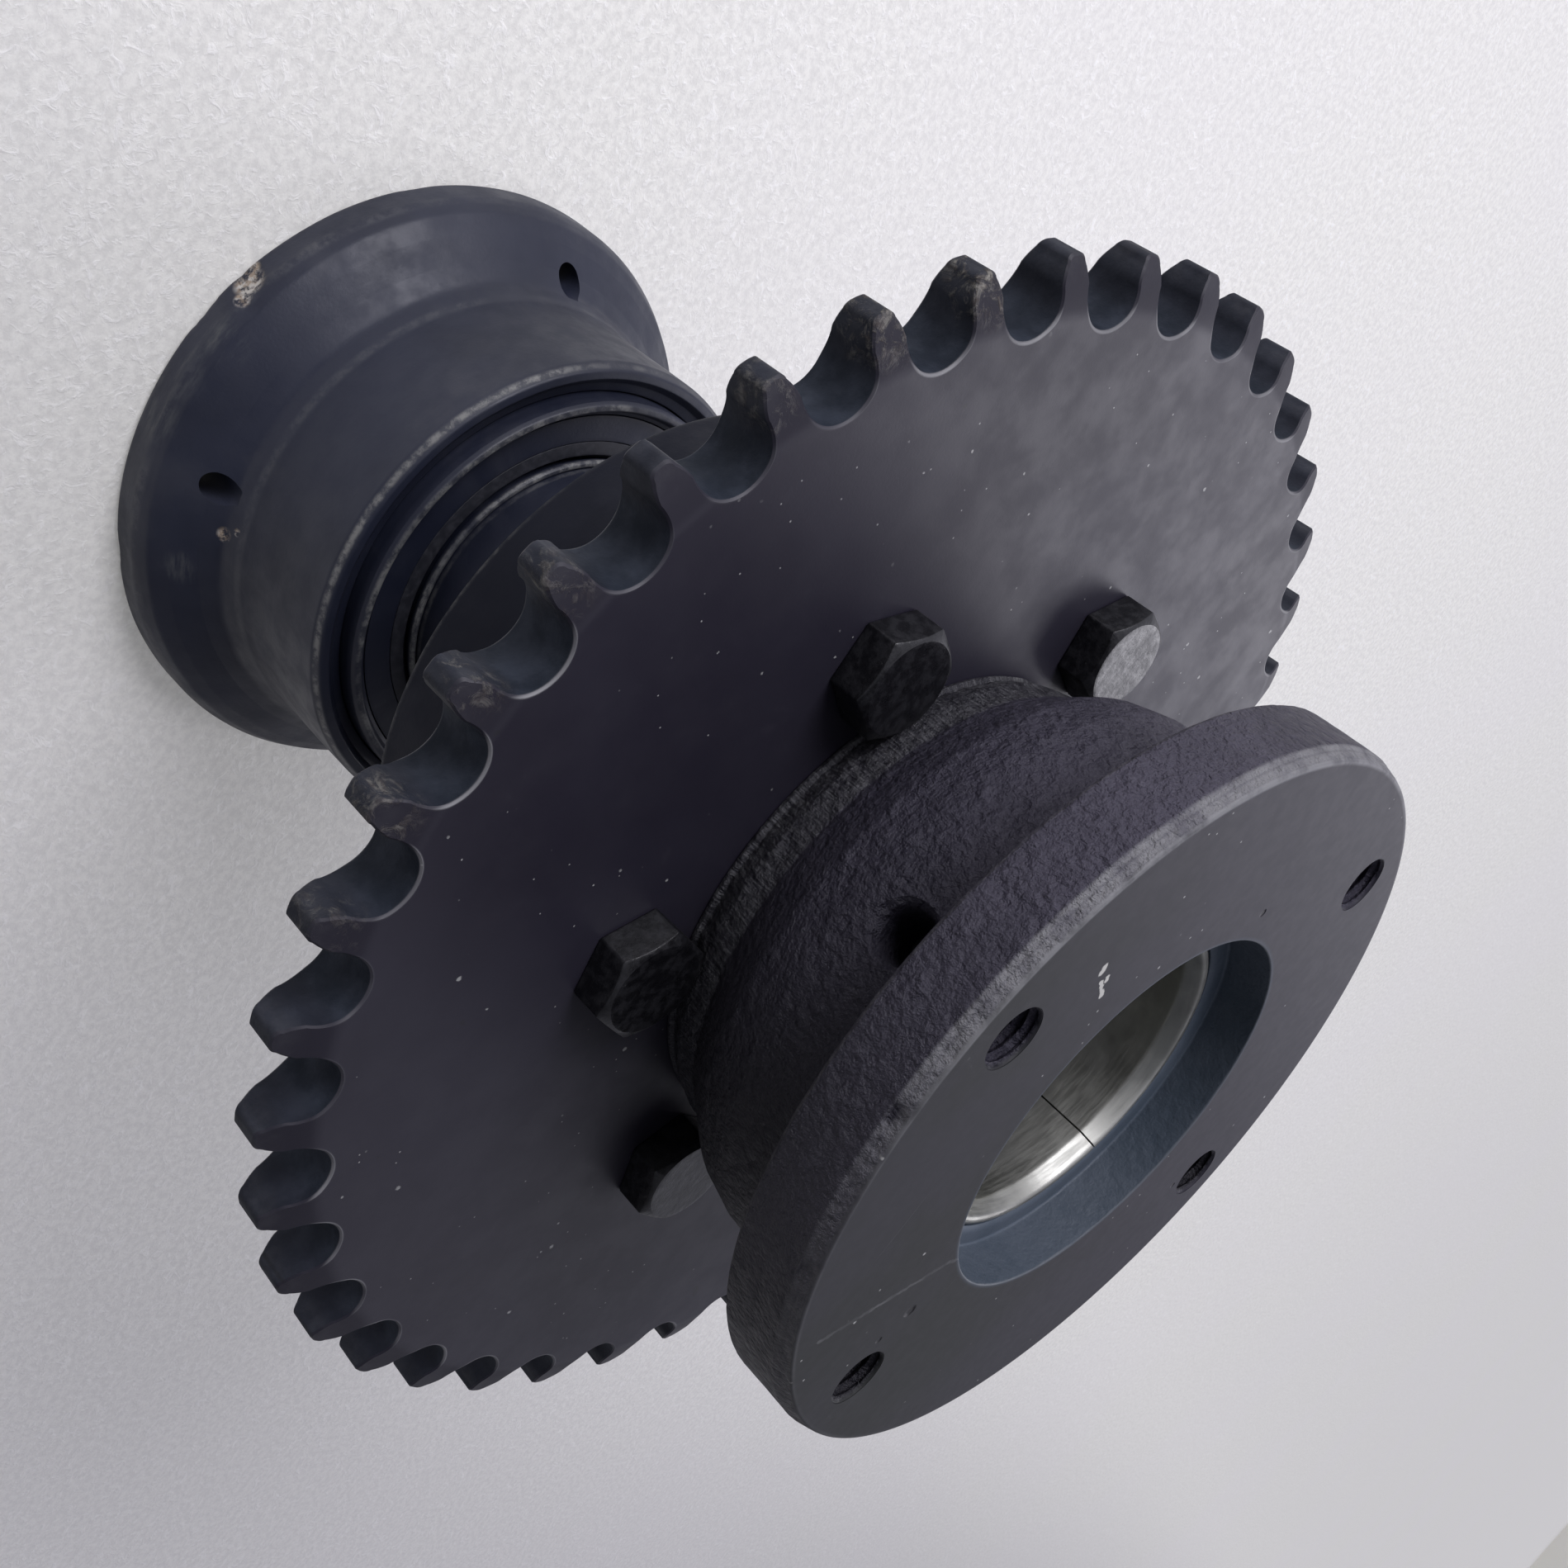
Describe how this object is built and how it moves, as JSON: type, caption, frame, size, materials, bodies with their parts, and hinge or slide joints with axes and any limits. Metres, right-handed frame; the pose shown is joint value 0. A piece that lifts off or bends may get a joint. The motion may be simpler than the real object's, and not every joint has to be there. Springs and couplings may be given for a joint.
{
  "type": "roller-chain sprocket drive hub with bearing housing",
  "caption": "Chain sprocket bolted to a flanged hub and hollow shaft, spinning in a round flanged bearing housing, as on a screw extruder's drive.",
  "frame": {"origin": "centre of the bearing housing's rear mounting face, on the common axis", "axes": "+Z along the common axis, from the rear mounting face towards the front flange; X and Y across the axis, with no preferred direction on the round body"},
  "size_m": [0.253, 0.253, 0.231],
  "materials": {
    "black_housing": "worn satin black",
    "black_steel": "worn satin black oxide",
    "hub_steel": "rough satin black with bright worn edges",
    "bolt_steel": "glossy black oxide",
    "bare_steel": "satin",
    "bearing_steel": "ground",
    "cage_brass": "machined",
    "seal_rubber": "matt"
  },
  "bodies": {
    "housing": {"bearing_housing": "black_housing", "front_seal_retainer": "black_housing", "front_oil_seal_case": "black_steel", "front_oil_seal_lip": "seal_rubber", "front_bearing_outer_ring": "bearing_steel", "outer_spacer_ring": "bare_steel", "rear_bearing_outer_ring": "bearing_steel", "rear_housing_circlip": "black_steel"},
    "rotor": {"quill_shaft": "black_steel", "carrier_hub": "black_steel", "chain_sprocket": "black_steel", "sprocket_bolt_1": "bolt_steel", "sprocket_bolt_2": "bolt_steel", "sprocket_bolt_3": "bolt_steel", "sprocket_bolt_4": "bolt_steel", "sprocket_bolt_5": "bolt_steel", "sprocket_bolt_6": "bolt_steel", "front_hub": "hub_steel", "front_bushing": "bare_steel", "hub_key": "bare_steel", "carrier_key": "bare_steel", "hub_grub_screw": "bolt_steel", "front_bearing_inner_ring": "bearing_steel", "inner_spacer_sleeve": "bare_steel", "rear_bearing_inner_ring": "bearing_steel", "shaft_lock_nut": "black_steel", "shaft_lock_washer": "bare_steel", "shaft_dust_ring": "seal_rubber"},
    "front_cage": {"front_ball_cage": "cage_brass"},
    "rear_cage": {"rear_ball_cage": "cage_brass"}
  },
  "joints": [
    {"name": "rotor_spin", "type": "hinge", "parent": "housing", "child": "rotor", "pos_m": [0, 0, 0.1], "axis": [0, 0, 1], "continuous": true},
    {"name": "front_cage_spin", "type": "hinge", "parent": "housing", "child": "front_cage", "pos_m": [0, 0, 0.0386], "axis": [0, 0, 1], "continuous": true},
    {"name": "rear_cage_spin", "type": "hinge", "parent": "housing", "child": "rear_cage", "pos_m": [0, 0, 0.015], "axis": [0, 0, 1], "continuous": true}
  ],
  "couplings": [
    {"joint": "front_cage_spin", "follows": "rotor_spin", "ratio": 0.447},
    {"joint": "rear_cage_spin", "follows": "rotor_spin", "ratio": 0.447}
  ]
}
